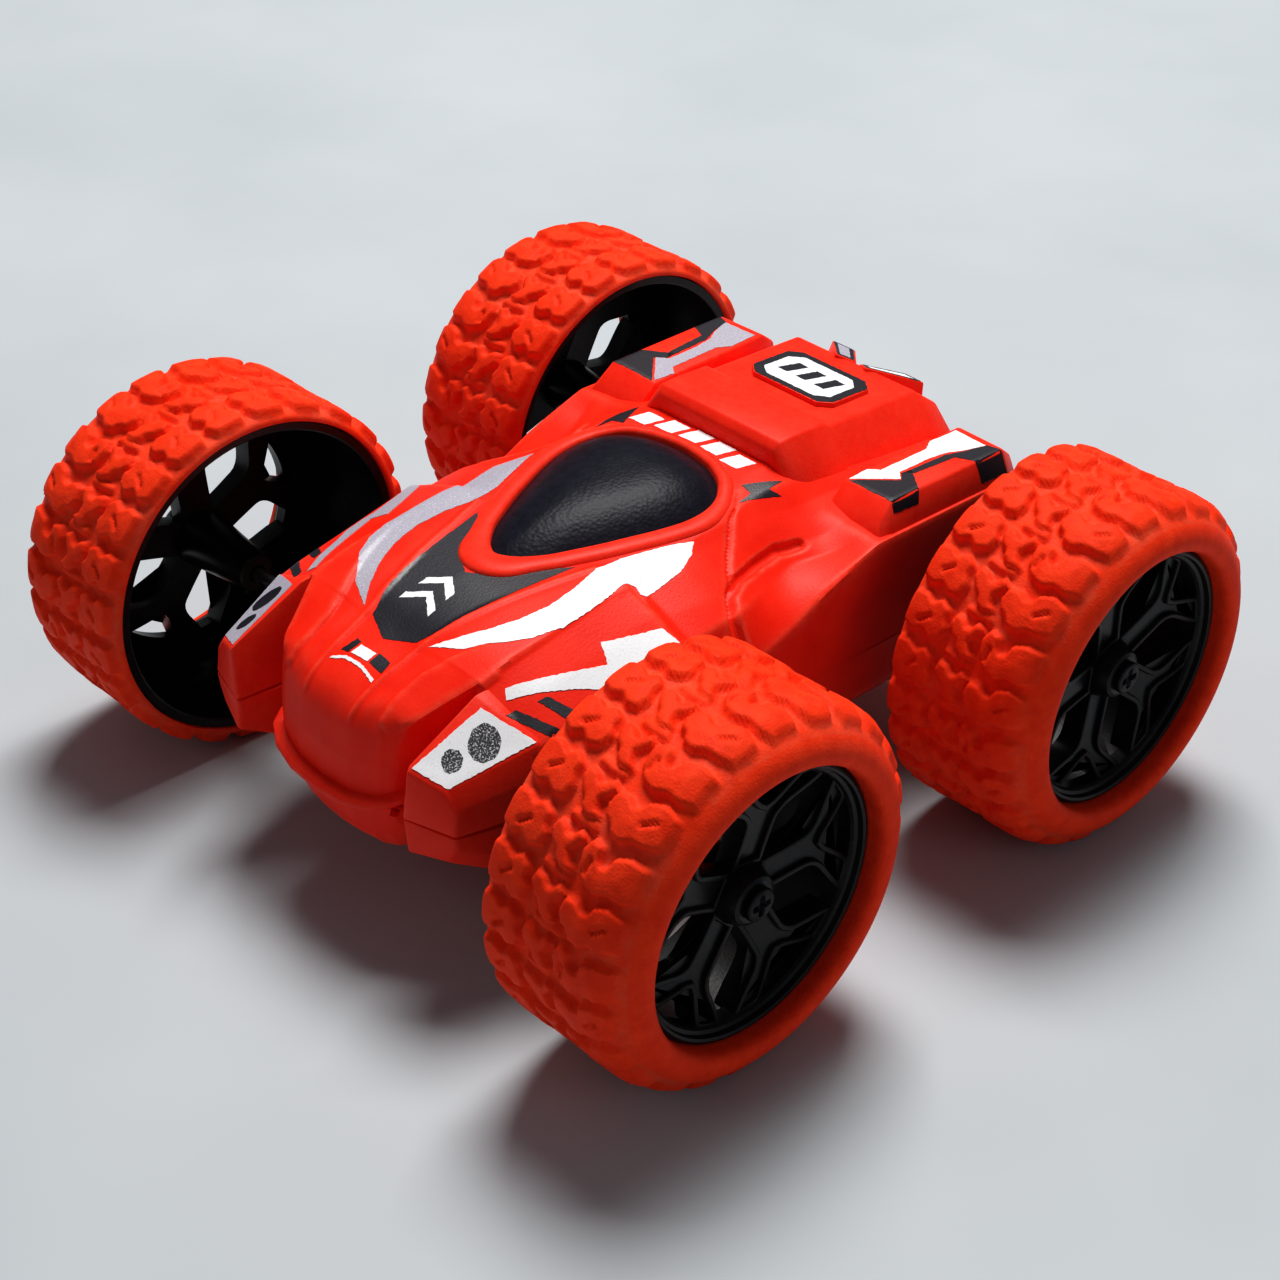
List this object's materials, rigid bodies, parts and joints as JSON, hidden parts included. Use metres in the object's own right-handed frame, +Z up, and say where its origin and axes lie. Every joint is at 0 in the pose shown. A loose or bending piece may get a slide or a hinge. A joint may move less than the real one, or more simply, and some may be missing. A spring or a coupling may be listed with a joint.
{
  "type": "rc stunt car",
  "caption": "Two-sided tumbling radio-controlled stunt car: two-part moulded body between oversized treaded wheels, with a motor gear train driving each rear wheel.",
  "frame": {"origin": "on the ground under the middle of the car, at the centre of the box's bottom face", "axes": "+Z up, front of the car towards -Y, the car's left side towards +X"},
  "size_m": [0.1458, 0.1462, 0.062],
  "materials": {
    "body_red": "satin moulded plastic",
    "canopy_black": "fine-grained satin",
    "tyre_red": "matte, dusty",
    "hub_black": "semi-gloss",
    "steel": "bright",
    "grey_plastic": "satin",
    "nylon": "satin",
    "brass": "machined",
    "inner_black": "matte",
    "board": "solder mask",
    "cell_sleeve": "shrink sleeve"
  },
  "bodies": {
    "chassis": {"upper_shell": "body_red", "lower_shell": "body_red", "battery_door": "body_red", "canopy": "canopy_black", "axle_front_left": "steel", "hub_screw_front_left": "steel", "axle_bush_front_left": "grey_plastic", "axle_front_right": "steel", "hub_screw_front_right": "steel", "axle_bush_front_right": "grey_plastic", "axle_bush_rear_left": "grey_plastic", "axle_bush_rear_right": "grey_plastic", "motor_left": "steel", "gear_pin_left": "steel", "gear_plate_left": "inner_black", "gear_case_left": "inner_black", "front_axle_holder_left": "inner_black", "battery_cell_left": "cell_sleeve", "motor_right": "steel", "gear_pin_right": "steel", "gear_plate_right": "inner_black", "gear_case_right": "inner_black", "front_axle_holder_right": "inner_black", "battery_cell_right": "cell_sleeve", "battery_contact_front": "steel", "battery_contact_rear": "steel", "battery_door_screw": "steel", "circuit_board": "board", "switch_body": "steel", "shell_screw_front_left": "steel", "shell_screw_front_right": "steel", "shell_screw_rear_left": "steel", "shell_screw_rear_right": "steel"},
    "wheel_front_left": {"tyre_front_left": "tyre_red", "hub_front_left": "hub_black"},
    "wheel_rear_left": {"tyre_rear_left": "tyre_red", "hub_rear_left": "hub_black", "axle_rear_left": "steel", "hub_screw_rear_left": "steel", "final_gear_left": "nylon"},
    "compound_left": {"compound_gear_left": "nylon"},
    "pinion_left": {"motor_pinion_left": "brass"},
    "wheel_front_right": {"tyre_front_right": "tyre_red", "hub_front_right": "hub_black"},
    "wheel_rear_right": {"tyre_rear_right": "tyre_red", "hub_rear_right": "hub_black", "axle_rear_right": "steel", "hub_screw_rear_right": "steel", "final_gear_right": "nylon"},
    "compound_right": {"compound_gear_right": "nylon"},
    "pinion_right": {"motor_pinion_right": "brass"},
    "switch": {"switch_knob": "inner_black"}
  },
  "joints": [
    {"name": "front_left_wheel_spin", "type": "hinge", "parent": "chassis", "child": "wheel_front_left", "pos_m": [0.0588, -0.0421, 0.031], "axis": [1, 0, 0], "continuous": true},
    {"name": "rear_left_wheel_spin", "type": "hinge", "parent": "chassis", "child": "wheel_rear_left", "pos_m": [0.0588, 0.0421, 0.031], "axis": [1, 0, 0], "continuous": true},
    {"name": "compound_left_spin", "type": "hinge", "parent": "chassis", "child": "compound_left", "pos_m": [0.029, 0.0336, 0.031], "axis": [1, 0, 0], "continuous": true},
    {"name": "motor_left_spin", "type": "hinge", "parent": "chassis", "child": "pinion_left", "pos_m": [0.0278, 0.0256, 0.031], "axis": [1, 0, 0], "continuous": true},
    {"name": "front_right_wheel_spin", "type": "hinge", "parent": "chassis", "child": "wheel_front_right", "pos_m": [-0.0588, -0.0421, 0.031], "axis": [1, 0, 0], "continuous": true},
    {"name": "rear_right_wheel_spin", "type": "hinge", "parent": "chassis", "child": "wheel_rear_right", "pos_m": [-0.0588, 0.0421, 0.031], "axis": [1, 0, 0], "continuous": true},
    {"name": "compound_right_spin", "type": "hinge", "parent": "chassis", "child": "compound_right", "pos_m": [-0.029, 0.0336, 0.031], "axis": [1, 0, 0], "continuous": true},
    {"name": "motor_right_spin", "type": "hinge", "parent": "chassis", "child": "pinion_right", "pos_m": [-0.0278, 0.0256, 0.031], "axis": [1, 0, 0], "continuous": true},
    {"name": "power_switch_slide", "type": "slide", "parent": "chassis", "child": "switch", "axis": [0, 1, 0], "range_m": [0, 0.002]}
  ],
  "couplings": [
    {"joint": "compound_left_spin", "follows": "rear_left_wheel_spin", "ratio": -3.25},
    {"joint": "motor_left_spin", "follows": "rear_left_wheel_spin", "ratio": 9.75},
    {"joint": "compound_right_spin", "follows": "rear_right_wheel_spin", "ratio": -3.25},
    {"joint": "motor_right_spin", "follows": "rear_right_wheel_spin", "ratio": 9.75}
  ]
}
